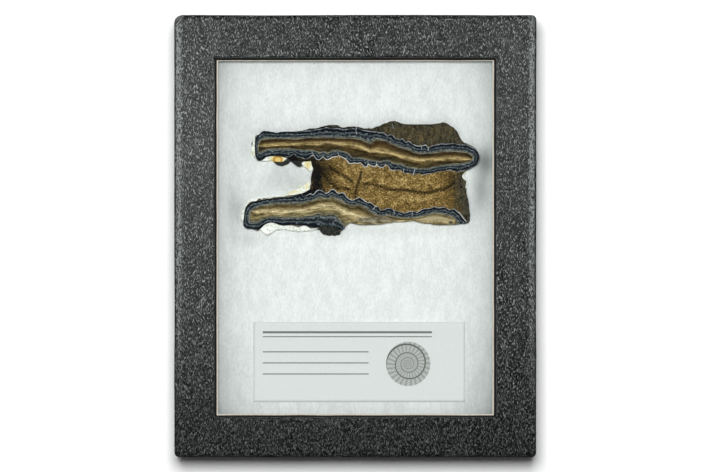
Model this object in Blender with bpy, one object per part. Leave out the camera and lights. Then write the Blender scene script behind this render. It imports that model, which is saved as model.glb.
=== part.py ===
"""Polished slice of a fossil mammoth molar in a small glass-fronted display case.

The case lies on its back: +Z points out through the glass, +Y runs up its long side.
The origin is the middle of the case's underside. The case is a covered cardboard lid
with a window, a pane of glass, a cardboard tray and a pad of white batting. The slice
and a label card are pressed between the pad and the glass.
"""

import math

import bmesh
import bpy
from mathutils import Vector

MM = 0.001

# Driving dimensions, in metres
CASE_WIDTH = 114.3 * MM
CASE_LENGTH = 139.7 * MM
CASE_DEPTH = 19.05 * MM
WINDOW_BORDER = 12.7 * MM
BOARD_THICKNESS = 1.7 * MM
GLASS_THICKNESS = 2.0 * MM
SLICE_THICKNESS = 6.0 * MM
CARD_WIDTH = 67.0 * MM
CARD_HEIGHT = 25.4 * MM
CARD_THICKNESS = 0.35 * MM
CARD_CENTRE = (1.25 * MM, -39.8 * MM)
CLEARANCE = 0.3 * MM

# Smaller sizes of the covered board
LID_CORNER_RADIUS = 1.2 * MM
LID_EDGE_RADIUS = 0.9 * MM
WINDOW_EDGE_RADIUS = 0.7 * MM
WINDOW_CORNER_RADIUS = 0.3 * MM
SKIRT_LIFT = 0.8 * MM
PAD_EDGE_RADIUS = 1.6 * MM
CORNER_STEPS = 4
EDGE_STEPS = 3

# Smaller sizes of the slice: its resin and its rough lump stop short of the polished face
RESIN_STEP = 0.45 * MM
LUMP_STEP = 0.9 * MM
UNDERSIDE_STEP = 0.5 * MM

# Heights that follow from the driving dimensions
BOARD_UNDERSIDE = CASE_DEPTH - BOARD_THICKNESS
GLASS_TOP = BOARD_UNDERSIDE - CLEARANCE
GLASS_UNDERSIDE = GLASS_TOP - GLASS_THICKNESS
CONTENTS_TOP = GLASS_UNDERSIDE - CLEARANCE
SLICE_UNDERSIDE = CONTENTS_TOP - SLICE_THICKNESS
POCKET_FLOOR = SLICE_UNDERSIDE - CLEARANCE
CARD_POCKET_FLOOR = CONTENTS_TOP - CARD_THICKNESS - CLEARANCE

# Insets from the outside of the case
TRAY_INSET = BOARD_THICKNESS + CLEARANCE
PAD_INSET = TRAY_INSET + BOARD_THICKNESS + CLEARANCE

# The dark tooth, seen from the front: two enamel loops joined on the right by cement.
# Points run clockwise in millimetres from the middle of the case.
TOOTH_OUTLINE = (
    # Left end of the upper loop
    (-31.3, 24.7), (-31.7, 25.6), (-31.8, 28.5), (-31.6, 31.6), (-31.2, 32.0), (-30.4, 32.2),
    (-29.8, 32.9), (-29.1, 33.4),
    # Upper edge, left to right
    (-28.5, 33.4), (-27.2, 33.2), (-25.7, 32.9), (-24.7, 32.8), (-23.8, 33.0), (-22.5, 33.2),
    (-20.0, 33.1), (-17.4, 33.3), (-15.5, 33.7), (-14.6, 34.1), (-12.1, 34.2), (-11.1, 34.6),
    (-9.5, 35.0), (-8.6, 35.2), (-6.4, 35.3), (-5.4, 35.1), (-4.5, 34.5), (-3.2, 34.5),
    (-2.0, 34.7), (-0.4, 34.8), (1.8, 34.5), (2.8, 34.1), (3.7, 34.1), (4.3, 34.3), (5.0, 34.0),
    (5.9, 34.3), (6.6, 34.7), (7.5, 34.8), (8.1, 35.2), (9.1, 35.7), (10.0, 35.9), (11.0, 36.4),
    (12.7, 36.5), (13.5, 36.2), (14.4, 35.8), (15.4, 35.6), (16.7, 35.4), (23.6, 35.4),
    (25.2, 35.6), (26.8, 35.8), (27.4, 36.0), (28.3, 36.0), (29.3, 35.6), (30.2, 34.9),
    # Shoulder and round nose of the upper loop
    (31.2, 34.4), (32.0, 33.6), (32.6, 32.6), (33.1, 31.5), (33.7, 30.4), (34.3, 29.8),
    (35.6, 29.2), (36.9, 28.6), (37.8, 28.0), (38.4, 27.2), (39.1, 26.3), (39.5, 25.3),
    (39.5, 24.4), (39.2, 23.4), (38.6, 22.6), (37.8, 22.1), (36.9, 21.5), (35.6, 20.9),
    (35.0, 20.6),
    # Chipped notch and right edge
    (34.3, 19.9), (33.7, 19.0), (34.0, 18.3), (34.7, 17.7), (35.1, 17.1), (34.8, 15.5),
    (35.1, 14.9), (35.2, 13.6), (35.6, 12.4), (35.9, 10.5), (36.1, 8.6), (36.4, 7.0),
    (36.3, 5.7), (36.2, 4.8), (35.8, 4.2), (35.0, 4.0),
    # Sawn lower edge, right to left
    (32.8, 3.8), (29.9, 3.6), (26.8, 3.5), (24.9, 3.6), (23.6, 4.0), (22.0, 4.0), (19.8, 4.5),
    (18.2, 4.9), (15.7, 4.6), (12.5, 4.5), (9.4, 4.0), (7.8, 3.7), (5.3, 3.6), (2.1, 3.5),
    (0.6, 3.7), (-1.5, 4.3), (-2.3, 3.7), (-2.8, 3.5), (-3.4, 2.4), (-4.0, 1.9), (-4.6, 1.5),
    # Enamel above the rough lump
    (-5.4, 2.2), (-6.6, 2.9), (-8.5, 3.4), (-10.5, 3.3), (-11.6, 2.7),
    # Underside of the lower arm
    (-13.3, 2.5), (-14.1, 2.4), (-14.9, 2.9), (-15.5, 3.3), (-16.5, 3.4), (-17.4, 3.0),
    (-18.2, 2.9), (-19.0, 3.2), (-20.0, 3.5), (-22.5, 3.3), (-23.4, 3.4), (-24.4, 3.7),
    (-26.0, 4.3), (-26.9, 4.3), (-27.9, 4.0), (-28.8, 3.5), (-29.6, 2.7), (-30.7, 1.7),
    (-31.5, 1.9), (-32.6, 2.3), (-33.9, 2.3), (-34.8, 2.6), (-35.3, 3.2), (-35.4, 3.8),
    # Left end and upper edge of the lower arm
    (-35.4, 4.8), (-35.2, 6.0), (-35.1, 7.3), (-34.9, 8.4), (-34.5, 9.4), (-33.9, 10.3),
    (-33.1, 10.9), (-31.3, 11.1), (-30.7, 11.7), (-30.2, 11.9), (-29.6, 11.5), (-29.1, 12.0),
    (-26.9, 11.9), (-26.0, 12.3), (-23.8, 12.4), (-22.5, 12.5), (-21.5, 12.9), (-19.3, 13.0),
    (-18.1, 13.3), (-16.8, 13.5), (-15.9, 13.9), (-15.2, 14.3), (-14.3, 14.9),
    # Broken left edge of the cement
    (-14.3, 15.8), (-14.0, 16.8), (-14.1, 18.7), (-13.7, 19.9), (-13.3, 21.4), (-13.7, 22.3),
    (-14.0, 23.7),
    # Underside of the upper loop, with the splinter that hangs from it
    (-16.2, 23.6), (-17.2, 23.1), (-16.6, 22.3), (-17.8, 21.8), (-18.4, 22.1), (-19.3, 22.8),
    (-20.3, 23.5), (-21.1, 24.3), (-21.9, 24.8), (-23.1, 25.1), (-25.3, 25.3), (-26.9, 25.3),
    (-28.2, 25.0), (-29.1, 24.2), (-30.1, 23.8), (-31.0, 23.9),
)

# Pale resin that fills broken edges, each outline reaching into the tooth
RESIN_OUTLINES = {
    "end_rim": (
        (-31.4, 31.5), (-32.3, 31.1), (-32.8, 30.4), (-32.9, 29.4), (-33.0, 28.1),
        (-33.0, 27.2), (-32.7, 26.3), (-32.1, 25.0), (-31.5, 24.4), (-30.6, 24.8),
        (-30.8, 31.2),
    ),
    "amber_drop": (
        (-29.6, 23.6), (-28.8, 23.5), (-27.5, 23.6), (-26.3, 23.9), (-26.0, 23.6),
        (-25.3, 22.9), (-24.4, 22.3), (-23.4, 22.1), (-22.8, 22.0), (-22.0, 22.5),
        (-21.1, 22.7), (-20.8, 23.4), (-20.4, 23.9), (-20.8, 25.4), (-25.5, 26.0),
        (-28.0, 25.7), (-29.8, 24.6),
    ),
    "wedge": (
        (-17.1, 22.6), (-16.6, 22.0), (-15.9, 21.7), (-15.1, 21.0), (-14.0, 20.3),
        (-13.8, 19.6), (-12.8, 19.9), (-12.8, 24.4), (-16.2, 24.3), (-17.6, 23.5),
    ),
    "fillet": (
        (-14.5, 17.9), (-14.8, 17.3), (-15.4, 16.9), (-16.2, 16.3), (-17.3, 15.7),
        (-18.4, 15.0), (-20.0, 14.3), (-21.5, 13.6), (-22.8, 13.1), (-24.4, 12.7),
        (-26.3, 12.7), (-26.9, 12.4), (-28.8, 12.3), (-29.9, 12.0), (-31.0, 12.1),
        (-32.0, 11.8), (-33.2, 11.6), (-34.0, 10.9), (-34.8, 10.1), (-35.3, 9.0),
        (-35.8, 8.3), (-36.1, 7.3), (-36.3, 6.2), (-36.3, 5.1), (-36.0, 4.2), (-35.6, 3.5),
        (-35.1, 3.1), (-34.4, 3.6), (-34.2, 6.0), (-33.8, 8.2), (-32.6, 10.0), (-31.0, 10.6),
        (-28.0, 11.0), (-22.0, 11.8), (-18.0, 12.6), (-15.0, 13.6), (-13.2, 14.8),
        (-13.3, 17.5),
    ),
    "lower_band": (
        (-30.4, 2.1), (-29.9, 1.5), (-29.3, 0.7), (-28.2, 0.0), (-26.9, 0.2), (-25.7, 1.2),
        (-24.4, 1.7), (-22.5, 1.9), (-20.6, 1.6), (-18.4, 1.3), (-15.9, 1.4), (-13.7, 1.6),
        (-12.0, 1.8), (-10.9, 2.2), (-11.0, 3.9), (-14.0, 3.8), (-17.0, 4.2), (-20.0, 4.4),
        (-24.0, 4.8), (-27.0, 5.2), (-29.2, 4.2), (-30.2, 3.0),
    ),
    "notch_sliver": (
        (35.3, 21.1), (35.1, 20.3), (34.8, 19.6), (34.8, 18.5), (35.4, 17.4), (35.6, 16.1),
        (35.6, 15.0), (35.1, 14.2), (34.2, 14.6), (34.0, 16.8), (33.2, 18.2), (32.8, 19.2),
        (33.8, 20.9),
    ),
}

# Rough dark lump below the lower arm
LUMP_OUTLINE = (
    (-11.8, 2.3), (-11.4, 1.5), (-10.8, 0.7), (-9.9, 0.3), (-8.3, 0.0), (-7.0, -0.2),
    (-5.8, 0.0), (-4.8, 0.2), (-4.5, 1.2), (-4.3, 2.2), (-5.4, 4.0), (-8.0, 5.0),
    (-11.0, 4.4),
)

# Pocket that the slice presses into the pad, about a millimetre clear of it all round
POCKET_OUTLINE = (
    (-34.2, 24.0), (-34.2, 30.5), (-33.0, 32.6), (-30.0, 34.6), (-20.0, 34.4), (-12.0, 35.6),
    (-6.0, 36.4), (-1.0, 36.0), (5.0, 35.8), (9.5, 37.3), (12.7, 37.7), (16.0, 36.8),
    (27.8, 37.2), (31.0, 36.0), (33.5, 34.0), (35.0, 30.8), (39.0, 28.8), (40.8, 25.5),
    (40.2, 22.4), (37.0, 20.4), (36.8, 15.0), (37.6, 7.0), (37.2, 3.2), (34.0, 2.6),
    (25.0, 2.3), (18.5, 3.3), (10.0, 2.7), (2.0, 2.3), (-2.0, 2.2), (-3.4, 0.2),
    (-4.6, -1.0), (-7.0, -1.4), (-10.8, -0.9), (-12.6, 0.2), (-24.0, 0.5), (-26.8, -1.0),
    (-29.6, -0.8), (-31.2, 0.4), (-35.8, 1.3), (-37.5, 4.5), (-37.4, 7.8), (-35.6, 11.6),
    (-33.0, 12.9), (-26.0, 13.9), (-20.0, 15.6), (-16.2, 17.6), (-15.4, 19.2),
    (-17.6, 20.6), (-21.0, 21.4), (-24.0, 20.9), (-27.0, 22.4), (-31.5, 22.6),
)


def clear_scene():
    """Removes every object that the file starts with."""
    for thing in list(bpy.data.objects):
        bpy.data.objects.remove(thing, do_unlink=True)


def principled(name, colour, roughness, alpha=1.0):
    """Makes a plain material of one colour, with no metal in it."""
    material = bpy.data.materials.new(name)
    material.use_nodes = True
    shader = material.node_tree.nodes["Principled BSDF"]
    shader.inputs["Base Color"].default_value = (*colour, 1.0)
    shader.inputs["Roughness"].default_value = roughness
    shader.inputs["Metallic"].default_value = 0.0
    shader.inputs["Alpha"].default_value = alpha
    return material


def object_from(mesh_build, name, material=None):
    """Turns a finished bmesh into an object, with its faces pointing out."""
    bmesh.ops.recalc_face_normals(mesh_build, faces=mesh_build.faces)
    mesh = bpy.data.meshes.new(name)
    mesh_build.to_mesh(mesh)
    mesh_build.free()
    thing = bpy.data.objects.new(name, mesh)
    bpy.context.collection.objects.link(thing)
    if material is not None:
        mesh.materials.append(material)
    return thing


def rounded_rectangle(inset, radius, height):
    """Lists the points of a rectangle with round corners, inset from the case's outside."""
    half_width = CASE_WIDTH / 2 - inset
    half_length = CASE_LENGTH / 2 - inset
    points = []
    for quarter, (side_x, side_y) in enumerate(((1, 1), (-1, 1), (-1, -1), (1, -1))):
        centre_x = side_x * (half_width - radius)
        centre_y = side_y * (half_length - radius)
        for step in range(CORNER_STEPS + 1):
            angle = math.radians(90) * (quarter + step / CORNER_STEPS)
            corner_x = centre_x + radius * math.cos(angle)
            corner_y = centre_y + radius * math.sin(angle)
            points.append(Vector((corner_x, corner_y, height)))
    return points


def ring_edges(mesh_build, points):
    """Adds a closed ring of edges through the points."""
    verts = [mesh_build.verts.new(point) for point in points]
    return [mesh_build.edges.new((verts[i - 1], verts[i])) for i in range(len(verts))]


def prism(name, outline, low, high, material=None):
    """Extrudes an outline given in millimetres between two heights."""
    shape = bmesh.new()
    face = shape.faces.new([shape.verts.new((x * MM, y * MM, low)) for x, y in outline])
    raised = bmesh.ops.extrude_face_region(shape, geom=[face])["geom"]
    top = [part for part in raised if isinstance(part, bmesh.types.BMVert)]
    bmesh.ops.translate(shape, verts=top, vec=(0, 0, high - low))
    return object_from(shape, name, material)


def make_tool(thing):
    """Marks an object as one that only shapes another."""
    thing.hide_render = True
    thing.display_type = "WIRE"


def combine(target, tool, operation):
    """Adds an exact Boolean of the tool to the target."""
    make_tool(tool)
    modifier = target.modifiers.new(tool.name, "BOOLEAN")
    modifier.operation = operation
    modifier.solver = "EXACT"
    modifier.object = tool


def quarter_round(start_inset, end_inset, radius):
    """Lists insets and heights along an outer edge's quarter circle, up to the lid's face."""
    direction = 1 if end_inset > start_inset else -1
    steps = []
    for step in range(EDGE_STEPS + 1):
        angle = math.radians(90) * step / EDGE_STEPS
        inset = end_inset - direction * radius * math.cos(angle)
        steps.append((inset, CASE_DEPTH - radius + radius * math.sin(angle)))
    return steps


def make_lid(material):
    """Lid: its L-shaped section runs round the window in a loft of rectangles."""
    outer_edge = quarter_round(0, LID_EDGE_RADIUS, LID_EDGE_RADIUS)
    window_edge = quarter_round(
        WINDOW_BORDER, WINDOW_BORDER - WINDOW_EDGE_RADIUS, WINDOW_EDGE_RADIUS)
    section = [(0, SKIRT_LIFT)] + outer_edge + window_edge[::-1]
    section.append((WINDOW_BORDER, BOARD_UNDERSIDE))
    section.append((BOARD_THICKNESS, BOARD_UNDERSIDE))
    section.append((BOARD_THICKNESS, SKIRT_LIFT))

    shape = bmesh.new()
    rings = []
    for inset, height in section:
        radius = max(LID_CORNER_RADIUS - inset, WINDOW_CORNER_RADIUS)
        rings.append(ring_edges(shape, rounded_rectangle(inset, radius, height)))
    for index, ring in enumerate(rings):
        bmesh.ops.bridge_loops(shape, edges=rings[index - 1] + ring)
    return object_from(shape, "lid", material)


def make_tray(material):
    """Tray: a shallow box that slides up inside the lid."""
    shape = bmesh.new()
    bmesh.ops.create_cube(shape, size=1.0)
    size = (CASE_WIDTH - 2 * TRAY_INSET, CASE_LENGTH - 2 * TRAY_INSET, CONTENTS_TOP)
    bmesh.ops.scale(shape, verts=shape.verts, vec=size)
    bmesh.ops.translate(shape, verts=shape.verts, vec=(0, 0, CONTENTS_TOP / 2))
    shape.faces.ensure_lookup_table()
    top_faces = [face for face in shape.faces if face.normal.z > 0.5]
    bmesh.ops.inset_region(
        shape, faces=top_faces, thickness=BOARD_THICKNESS, use_even_offset=True)
    hollow = bmesh.ops.extrude_face_region(shape, geom=top_faces)["geom"]
    floor_verts = [part for part in hollow if isinstance(part, bmesh.types.BMVert)]
    bmesh.ops.delete(shape, geom=top_faces, context="FACES_ONLY")
    drop = BOARD_THICKNESS - CONTENTS_TOP
    bmesh.ops.translate(shape, verts=floor_verts, vec=(0, 0, drop))
    return object_from(shape, "tray", material)


def make_glass(material):
    """Window glass: a plain pane held between the lid's board and the tray's walls."""
    shape = bmesh.new()
    bmesh.ops.create_cube(shape, size=1.0)
    pane = (CASE_WIDTH - 2 * TRAY_INSET, CASE_LENGTH - 2 * TRAY_INSET, GLASS_THICKNESS)
    bmesh.ops.scale(shape, verts=shape.verts, vec=pane)
    middle = (GLASS_UNDERSIDE + GLASS_TOP) / 2
    bmesh.ops.translate(shape, verts=shape.verts, vec=(0, 0, middle))
    return object_from(shape, "window_glass", material)


def make_slice(material):
    """Slice: the polished tooth with its resin and its rough lump, all one solid."""
    tooth = prism("tooth_slice", TOOTH_OUTLINE, SLICE_UNDERSIDE, CONTENTS_TOP, material)
    low = SLICE_UNDERSIDE + UNDERSIDE_STEP
    for name, outline in RESIN_OUTLINES.items():
        resin = prism(name, outline, low, CONTENTS_TOP - RESIN_STEP)
        combine(tooth, resin, "UNION")
    lump = prism("lump", LUMP_OUTLINE, low, CONTENTS_TOP - LUMP_STEP)
    combine(tooth, lump, "UNION")
    return tooth


def card_box(name, margin, low, high, material=None):
    """Makes a flat box round the label card's place."""
    half_width = (CARD_WIDTH / 2 + margin) / MM
    half_height = (CARD_HEIGHT / 2 + margin) / MM
    centre_x = CARD_CENTRE[0] / MM
    centre_y = CARD_CENTRE[1] / MM
    corners = ((-1, 1), (1, 1), (1, -1), (-1, -1))
    outline = [(centre_x + x * half_width, centre_y + y * half_height) for x, y in corners]
    return prism(name, outline, low, high, material)


def make_pad(material):
    """Batting pad: fills the tray up to the glass, with pockets for the slice and card."""
    shape = bmesh.new()
    bmesh.ops.create_cube(shape, size=1.0)
    floor = BOARD_THICKNESS + CLEARANCE
    height = CONTENTS_TOP - floor
    size = (CASE_WIDTH - 2 * PAD_INSET, CASE_LENGTH - 2 * PAD_INSET, height)
    bmesh.ops.scale(shape, verts=shape.verts, vec=size)
    bmesh.ops.translate(shape, verts=shape.verts, vec=(0, 0, floor + height / 2))
    bmesh.ops.bevel(
        shape, geom=shape.edges[:], offset=PAD_EDGE_RADIUS, segments=2, profile=0.5,
        affect="EDGES", material=-1)
    pad = object_from(shape, "batting", material)
    above = CONTENTS_TOP + CLEARANCE
    pocket = prism("slice_pocket", POCKET_OUTLINE, POCKET_FLOOR, above)
    combine(pad, pocket, "DIFFERENCE")
    recess = card_box("card_pocket", CLEARANCE, CARD_POCKET_FLOOR, above)
    combine(pad, recess, "DIFFERENCE")
    return pad


def main():
    clear_scene()
    leatherette = principled("black_leatherette", (0.035, 0.036, 0.038), 0.55)
    make_lid(leatherette)
    make_tray(principled("black_paper", (0.03, 0.03, 0.032), 0.7))
    make_glass(principled("clear_glass", (0.9, 0.95, 0.94), 0.05, alpha=0.2))
    make_pad(principled("white_batting", (0.8, 0.83, 0.83), 0.95))
    make_slice(principled("polished_tooth", (0.16, 0.12, 0.07), 0.3))
    card = principled("label_paper", (0.82, 0.84, 0.83), 0.8)
    card_box("label_card", 0.0, CONTENTS_TOP - CARD_THICKNESS, CONTENTS_TOP, card)


main()
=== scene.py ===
"""A case with a glass front that holds a polished slice of fossil mammoth molar.

Lengths are metres. Outlines are millimetres from the middle of the case, with x to the
right and y up the case as it is seen from the front.
"""

import math

import bmesh
import bpy
import numpy as np
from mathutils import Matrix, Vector, noise


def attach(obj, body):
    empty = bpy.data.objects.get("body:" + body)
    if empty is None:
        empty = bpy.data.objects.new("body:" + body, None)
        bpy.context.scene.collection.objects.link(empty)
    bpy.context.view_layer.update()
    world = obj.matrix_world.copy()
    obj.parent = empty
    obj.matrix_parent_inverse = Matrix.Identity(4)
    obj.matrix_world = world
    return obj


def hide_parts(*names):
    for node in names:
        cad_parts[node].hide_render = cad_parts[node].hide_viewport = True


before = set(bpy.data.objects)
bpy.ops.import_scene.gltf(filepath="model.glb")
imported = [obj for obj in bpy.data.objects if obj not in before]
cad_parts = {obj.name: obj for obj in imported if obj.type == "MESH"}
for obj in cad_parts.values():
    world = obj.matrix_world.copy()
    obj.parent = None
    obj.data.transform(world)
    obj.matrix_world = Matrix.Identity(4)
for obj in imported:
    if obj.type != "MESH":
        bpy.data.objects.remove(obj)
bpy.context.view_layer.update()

# Studio: the camera looks straight down from two metres through a long lens, so the
# case's sides stay hidden. A soft lamp above the case's far end lights everything, and
# the others only give the leatherette its sheen, which fades towards the near end.
# The leatherette's colour also holds painted glints and highlights that fade the same way.
MM = 0.001
PHOTO_WIDTH = 708
PIXEL_SIZE = 0.3157 * MM
CASE_TOP = 19.05 * MM
CAMERA_HEIGHT = 2.0
PICTURE_MIDDLE = (-0.395 * MM, 0.047 * MM)

camera_data = bpy.data.cameras.new("camera")
camera_data.sensor_width = 36.0
camera_data.lens = camera_data.sensor_width * CAMERA_HEIGHT / (PHOTO_WIDTH * PIXEL_SIZE)
camera = bpy.data.objects.new("camera", camera_data)
camera.location = (*PICTURE_MIDDLE, CASE_TOP + CAMERA_HEIGHT)
bpy.context.collection.objects.link(camera)
bpy.context.scene.camera = camera
bpy.context.scene.view_settings.view_transform = "Standard"


def hang_lamp(name, place, size, power, lights_matt=True, shows_in_gloss=True):
    """Hangs a rectangular soft lamp that points at the case."""
    lamp_data = bpy.data.lights.new(name, "AREA")
    lamp_data.shape = "RECTANGLE"
    lamp_data.size, lamp_data.size_y = size
    lamp_data.energy = power
    lamp = bpy.data.objects.new(name, lamp_data)
    lamp.location = place
    lamp.rotation_euler = (-Vector(place)).to_track_quat("-Z", "Y").to_euler()
    lamp.visible_camera = False
    lamp.visible_diffuse = lights_matt
    lamp.visible_glossy = shows_in_gloss
    lamp.visible_transmission = False
    bpy.context.collection.objects.link(lamp)


hang_lamp("top_lamp", (-0.03, 0.22, 1.2), (0.42, 0.38), 18.0, shows_in_gloss=False)
hang_lamp("left_lamp", (-0.6, 0.12, 0.28), (0.2, 0.4), 0.7, lights_matt=False)
hang_lamp("right_lamp", (0.6, 0.12, 0.28), (0.2, 0.4), 0.6, lights_matt=False)
hang_lamp("left_sheen", (-0.129, 0.041, 0.36), (0.06, 0.06), 0.2, lights_matt=False)
hang_lamp("right_sheen", (0.129, 0.058, 0.36), (0.06, 0.06), 0.12, lights_matt=False)


class Amount:
    """A number or colour that varies from place to place. Its sums and products add nodes."""

    def __init__(self, nodes, socket):
        self.nodes = nodes
        self.socket = socket

    def __add__(self, other):
        return self.nodes.work_out("ADD", self, other)

    def __radd__(self, other):
        return self.nodes.work_out("ADD", other, self)

    def __sub__(self, other):
        return self.nodes.work_out("SUBTRACT", self, other)

    def __rsub__(self, other):
        return self.nodes.work_out("SUBTRACT", other, self)

    def __mul__(self, other):
        return self.nodes.work_out("MULTIPLY", self, other)

    def __rmul__(self, other):
        return self.nodes.work_out("MULTIPLY", other, self)

    def __truediv__(self, other):
        return self.nodes.work_out("DIVIDE", self, other)


class Nodes:
    """The nodes of a material or of the room's light."""

    def __init__(self, tree):
        self.tree = tree

    def add(self, kind, settings=None, inputs=None, output=0):
        """Adds a node with its settings and inputs, and returns one of its outputs."""
        node = self.tree.nodes.new(kind)
        for name, value in (settings or {}).items():
            if name == "stops":
                while len(node.color_ramp.elements) < len(value):
                    node.color_ramp.elements.new(1.0)
                for stop, (position, colour) in zip(node.color_ramp.elements, value):
                    stop.position = position
                    stop.color = colour
            else:
                setattr(node, name, value)
        for name, value in (inputs or {}).items():
            self.feed(node.inputs[name], value)
        return Amount(self, node.outputs[output] if node.outputs else None)

    def feed(self, socket, value):
        """Links an amount to a socket, or sets the socket to a fixed value."""
        if isinstance(value, Amount):
            self.tree.links.new(value.socket, socket)
        else:
            socket.default_value = value

    def work_out(self, operation, first, second=0.0):
        """Works out a sum, product or other function of one or two numbers."""
        return self.add("ShaderNodeMath", {"operation": operation}, {0: first, 1: second})


studio = bpy.data.worlds.new("studio")
studio.use_nodes = True
studio.node_tree.nodes.clear()
bpy.context.scene.world = studio
room = Nodes(studio.node_tree)
light = room.add("ShaderNodeBackground", None, {"Strength": 0.1})
for ray_kind, colour in (("Is Glossy Ray", (0.02, 0.02, 0.02, 1.0)),
                         ("Is Camera Ray", (0.93, 0.94, 0.95, 1.0))):
    shown = room.add("ShaderNodeBackground", None, {"Color": colour})
    ray = room.add("ShaderNodeLightPath", output=ray_kind)
    light = room.add("ShaderNodeMixShader", None, {0: ray, 1: light, 2: shown})
room.add("ShaderNodeOutputWorld", None, {"Surface": light})


# Floor: a matt white sweep under the case. It lies just below the tray, so that the two
# don't share a surface, and it doesn't show in the leatherette's gloss.
FLOOR_SIZE = 3.0
FLOOR_HEIGHT = -0.1 * MM


class Finish(Nodes):
    """A material, with the nodes that vary it over a surface. Places are in millimetres."""

    def __init__(self, name, **fixed):
        self.material = bpy.data.materials.new(name)
        self.material.use_nodes = True
        super().__init__(self.material.node_tree)
        self.shader = self.tree.nodes["Principled BSDF"]
        for socket_name, value in fixed.items():
            self.shader.inputs[socket_name.replace("_", " ")].default_value = value
        object_place = self.add("ShaderNodeTexCoord", output="Object")
        self.place = self.add(
            "ShaderNodeVectorMath", {"operation": "SCALE"},
            {"Vector": object_place, "Scale": 1000.0})

    def coordinates(self):
        """How far a place is across, up and in front, in millimetres."""
        parts = self.add("ShaderNodeSeparateXYZ", None, {0: self.place}).socket.node.outputs
        return [Amount(self, part) for part in parts]

    def vary(self, **amounts):
        """Feeds amounts to the shader's own sockets."""
        for socket_name, value in amounts.items():
            self.feed(self.shader.inputs[socket_name.replace("_", " ")], value)

    def most(self, first, second):
        """The larger of two numbers."""
        return self.work_out("MAXIMUM", first, second)

    def ease(self, value, low, high):
        """Goes smoothly from 0 at low to 1 at high, where low may be the larger."""
        return self.add(
            "ShaderNodeMapRange", {"interpolation_type": "SMOOTHSTEP"},
            {"Value": value, "From Min": low, "From Max": high})

    def line(self, value, middle, reach):
        """Is 1 where a value is at its middle, and fades to 0 within reach of it."""
        return self.ease(self.work_out("ABSOLUTE", value - middle), reach, 0.0)

    def stretched(self, stretch, place=None):
        """Places multiplied along each axis, so that a pattern is drawn out or packed."""
        return self.add(
            "ShaderNodeVectorMath", {"operation": "MULTIPLY"},
            {0: place or self.place, 1: stretch})

    def cloud(self, scale, place=None, detail=2.0, roughness=0.5):
        """Soft random patches, from 0 to 1."""
        return self.add(
            "ShaderNodeTexNoise", None,
            {"Vector": place or self.place, "Scale": scale, "Detail": detail,
             "Roughness": roughness})

    def cells(self, scale, place=None, output="Distance"):
        """Distances or colours of random cells."""
        return self.add(
            "ShaderNodeTexVoronoi", None, {"Vector": place or self.place, "Scale": scale}, output)

    def blend(self, factor, under, over, how="MIX"):
        """Mixes two colours."""
        return self.add(
            "ShaderNodeMix", {"data_type": "RGBA", "blend_type": how},
            {0: factor, 6: under, 7: over}, 2)

    def shades(self, value, *stops):
        """Turns a number into a colour. Each stop is a number with its red, green and blue."""
        stops = [(position, paint(*colour)) for position, *colour in stops]
        return self.add("ShaderNodeValToRGB", {"stops": stops}, {0: value}, "Color")

    def relief(self, height, depth, strength=1.0):
        """Bumps as deep as depth, in metres, where height goes from 0 to 1."""
        return self.add(
            "ShaderNodeBump", None,
            {"Height": height, "Distance": depth, "Strength": strength}, "Normal")


LIGHT_ON_CASE = 1.3


def paint(red, green, blue):
    """Colour as the photograph shows it, from 0 to 255, over the light that falls on it."""
    linear = []
    for level in (red, green, blue):
        share = level / 255
        amount = share / 12.92 if share < 0.04045 else ((share + 0.055) / 1.055) ** 2.4
        linear.append(amount / LIGHT_ON_CASE)
    return (*linear, 1.0)


def finish_mesh(shape, name, finish, smooth=True):
    """Turns a bmesh into an object at the origin, with its faces pointing out."""
    bmesh.ops.remove_doubles(shape, verts=shape.verts, dist=1e-7)
    bmesh.ops.recalc_face_normals(shape, faces=shape.faces)
    mesh = bpy.data.meshes.new(name)
    shape.to_mesh(mesh)
    shape.free()
    mesh.materials.append(finish.material)
    mesh.polygons.foreach_set("use_smooth", [smooth] * len(mesh.polygons))
    piece = bpy.data.objects.new(name, mesh)
    bpy.context.collection.objects.link(piece)
    return piece


floor_paper = Finish("floor_paper", Roughness=0.9)
floor_paper.vary(Base_Color=floor_paper.blend(
    floor_paper.cloud(0.02), (0.9, 0.91, 0.91, 1), (0.92, 0.92, 0.92, 1)))
shape = bmesh.new()
bmesh.ops.create_grid(shape, x_segments=8, y_segments=8, size=FLOOR_SIZE / 2)
bmesh.ops.translate(shape, verts=shape.verts, vec=(0, 0, FLOOR_HEIGHT))
floor = finish_mesh(shape, "floor", floor_paper)
floor.visible_glossy = False


# Lid: cardboard covered with black leatherette paper, wrapped round its edges and round
# those of its window. The paper is embossed with a fine, upright grain. Its colour holds
# painted glints that fade towards the near end, and painted highlights along the two long edges.
CASE_WIDTH = 114.3 * MM
CASE_LENGTH = 139.7 * MM
WINDOW_BORDER = 12.7 * MM
BOARD = 1.7 * MM
BOARD_UNDERSIDE = 17.35 * MM
SKIRT_LIFT = 0.8 * MM
LID_CORNER = 1.5 * MM
WORN_CORNER = 2.4 * MM
LID_EDGE = 1.4 * MM
WINDOW_EDGE = 0.6 * MM
TOP_EDGE_DROP = 0.8 * MM
WINDOW_CORNER = 0.5 * MM
UNEVEN = 0.12 * MM
UNEVEN_SEED = 7
FLAT_ABOVE = 17.6 * MM
CUT_SPACING = 2.4 * MM
LEAST_UPRIGHT = 1 * MM


def cut_through(shape, spacing, half_x, half_y):
    """Cuts a shape along evenly spaced planes, so that it can be made uneven."""
    for axis, half in ((0, half_x), (1, half_y)):
        count = int(2 * half / spacing)
        for step in range(1, count):
            place = Vector((0, 0, 0))
            place[axis] = -half + 2 * half * step / count
            normal = Vector((0, 0, 0))
            normal[axis] = 1
            parts = shape.verts[:] + shape.edges[:] + shape.faces[:]
            bmesh.ops.bisect_plane(shape, geom=parts, plane_co=place, plane_no=normal)


def near(value, target):
    """Tells whether two lengths are the same but for rounding."""
    return abs(value - target) < 0.02 * MM


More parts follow.
